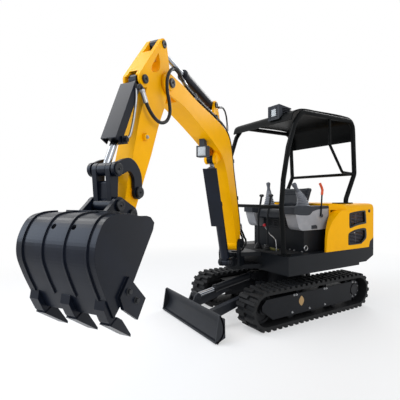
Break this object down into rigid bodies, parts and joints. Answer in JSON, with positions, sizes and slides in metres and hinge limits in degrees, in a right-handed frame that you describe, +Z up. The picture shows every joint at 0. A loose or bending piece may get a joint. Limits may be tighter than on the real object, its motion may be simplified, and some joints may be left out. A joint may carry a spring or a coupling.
{
  "type": "mini excavator",
  "caption": "Compact tracked excavator with swing boom, arm, bucket, dozer blade, canopy and hydraulic cylinders that follow their joints.",
  "frame": {"origin": "on the ground under the slew axis", "axes": "+X forward over the blade, +Y to the machine's left, +Z up"},
  "size_m": [3.5295, 1.937, 2.1304],
  "materials": {
    "yellow_paint": "gloss enamel",
    "black_paint": "satin enamel",
    "rubber": "moulded",
    "cast_steel": "painted casting",
    "chrome_rod": "ground and plated",
    "lamp": "moulded housing",
    "seat_vinyl": "grained vinyl",
    "grey_plastic": "grained",
    "black_plastic": "satin",
    "orange_grip": "dipped"
  },
  "bodies": {
    "undercarriage": {"track_frame": "black_paint", "track_beams": "black_paint", "track_left": "rubber", "track_right": "rubber", "sprockets": "cast_steel", "idlers": "cast_steel", "track_rollers": "cast_steel", "track_covers": "black_paint", "slew_ring": "cast_steel"},
    "blade": {"blade": "black_paint"},
    "blade_barrel": {"blade_barrel": "black_paint"},
    "blade_rod": {"blade_rod": "chrome_rod"},
    "upper": {"platform": "black_paint", "counterweight": "black_paint", "engine": "cast_steel", "hood_left": "yellow_paint", "hood_right": "yellow_paint", "hood_top": "yellow_paint", "vent_screens": "cast_steel", "canopy_frame": "black_paint", "canopy_roof": "black_paint", "roof_lamp": "lamp", "seat_base": "black_paint", "seat_cushion": "seat_vinyl", "seat_back": "seat_vinyl", "console_left": "grey_plastic", "console_right": "grey_plastic", "joysticks": "black_plastic", "safety_lever": "orange_grip", "travel_levers": "black_paint"},
    "engine_door": {"engine_door": "yellow_paint"},
    "swing_post": {"swing_post": "black_paint"},
    "boom": {"boom": "yellow_paint", "boom_pipes": "black_paint", "boom_lamp": "lamp"},
    "boom_barrel": {"boom_barrel": "black_paint"},
    "boom_rod": {"boom_rod": "chrome_rod"},
    "arm": {"arm": "yellow_paint"},
    "arm_barrel": {"arm_barrel": "black_paint"},
    "arm_rod": {"arm_rod": "chrome_rod"},
    "bucket_barrel": {"bucket_barrel": "black_paint"},
    "bucket_rod": {"bucket_rod": "chrome_rod"},
    "rocker": {"rocker_links": "black_paint"},
    "link": {"bucket_link": "black_paint"},
    "bucket": {"bucket": "black_paint", "bucket_teeth": "black_paint"}
  },
  "joints": [
    {"name": "slew", "type": "hinge", "parent": "undercarriage", "child": "upper", "pos_m": [0, 0, 0.46], "axis": [0, 0, 1], "continuous": true},
    {"name": "blade_lift", "type": "hinge", "parent": "undercarriage", "child": "blade", "pos_m": [0.56, 0, 0.235], "axis": [0, -1, 0], "range_deg": [-12, 22]},
    {"name": "blade_barrel_swing", "type": "hinge", "parent": "undercarriage", "child": "blade_barrel", "pos_m": [0.43, 0, 0.372], "axis": [0, -1, 0], "range_deg": [-10.5, 18.42]},
    {"name": "blade_rod_slide", "type": "slide", "parent": "blade_barrel", "child": "blade_rod", "axis": [0.9869, 0, -0.1615], "range_m": [-0.0536, 0.0315]},
    {"name": "engine_door_hinge", "type": "hinge", "parent": "upper", "child": "engine_door", "pos_m": [-0.9005, -0.3025, 0.95], "axis": [0, 0, 1], "range_deg": [0, 80]},
    {"name": "boom_swing", "type": "hinge", "parent": "upper", "child": "swing_post", "pos_m": [0.65, 0, 0.555], "axis": [0, 0, 1], "range_deg": [-83.5, 42]},
    {"name": "boom_lift", "type": "hinge", "parent": "swing_post", "child": "boom", "pos_m": [0.73339, 0.05519, 0.725], "axis": [0.5519, -0.8339, 0], "range_deg": [-85, 22]},
    {"name": "boom_barrel_swing", "type": "hinge", "parent": "swing_post", "child": "boom_barrel", "pos_m": [0.86264, 0.14074, 0.572], "axis": [0.5519, -0.8339, 0], "range_deg": [-91.1, 24.32]},
    {"name": "boom_rod_slide", "type": "slide", "parent": "boom_barrel", "child": "boom_rod", "axis": [0.2891, 0.1913, 0.938], "range_m": [-0.3018, 0.0818]},
    {"name": "arm_crowd", "type": "hinge", "parent": "boom", "child": "arm", "pos_m": [1.82828, 0.77989, 1.867], "axis": [-0.5519, 0.8339, 0], "range_deg": [-55, 61]},
    {"name": "arm_barrel_swing", "type": "hinge", "parent": "boom", "child": "arm_barrel", "pos_m": [1.15033, 0.33116, 1.94], "axis": [-0.5519, 0.8339, 0], "range_deg": [-4.85, 5.27]},
    {"name": "arm_rod_slide", "type": "slide", "parent": "arm_barrel", "child": "arm_rod", "axis": [0.82, 0.5427, 0.182], "range_m": [-0.1941, 0.2148]},
    {"name": "bucket_curl", "type": "hinge", "parent": "arm", "child": "bucket", "pos_m": [2.15099, 0.99349, 1.085], "axis": [0.5519, -0.8339, 0], "range_deg": [-120, 25]},
    {"name": "rocker_swing", "type": "hinge", "parent": "arm", "child": "rocker", "pos_m": [2.10263, 0.96147, 1.2], "axis": [0.5519, -0.8339, 0], "range_deg": [-69.1, 15.19]},
    {"name": "link_swing", "type": "hinge", "parent": "bucket", "child": "link", "pos_m": [2.23438, 1.04868, 1.135], "axis": [0.5519, -0.8339, 0], "range_deg": [-17.5, 80.2]},
    {"name": "bucket_barrel_swing", "type": "hinge", "parent": "arm", "child": "bucket_barrel", "pos_m": [2.02841, 0.91235, 1.82], "axis": [0.5519, -0.8339, 0], "range_deg": [-6.08, 2.06]},
    {"name": "bucket_rod_slide", "type": "slide", "parent": "bucket_barrel", "child": "bucket_rod", "axis": [0.3694, 0.2445, -0.8965], "range_m": [-0.0502, 0.2219]}
  ],
  "couplings": [
    {"joint": "blade_barrel_swing", "follows": "blade_lift", "ratio": 0.79181},
    {"joint": "blade_rod_slide", "follows": "blade_lift", "m_per_rad": -0.12666},
    {"joint": "boom_barrel_swing", "follows": "boom_lift", "ratio": 1.06},
    {"joint": "boom_rod_slide", "follows": "boom_lift", "m_per_rad": 0.20007},
    {"joint": "arm_barrel_swing", "follows": "arm_crowd", "ratio": 0.07},
    {"joint": "arm_rod_slide", "follows": "arm_crowd", "m_per_rad": 0.19704},
    {"joint": "rocker_swing", "follows": "bucket_curl", "ratio": 0.5675},
    {"joint": "link_swing", "follows": "bucket_curl", "ratio": -0.66},
    {"joint": "bucket_barrel_swing", "follows": "bucket_curl", "ratio": 0.0423},
    {"joint": "bucket_rod_slide", "follows": "bucket_curl", "m_per_rad": -0.10354}
  ]
}
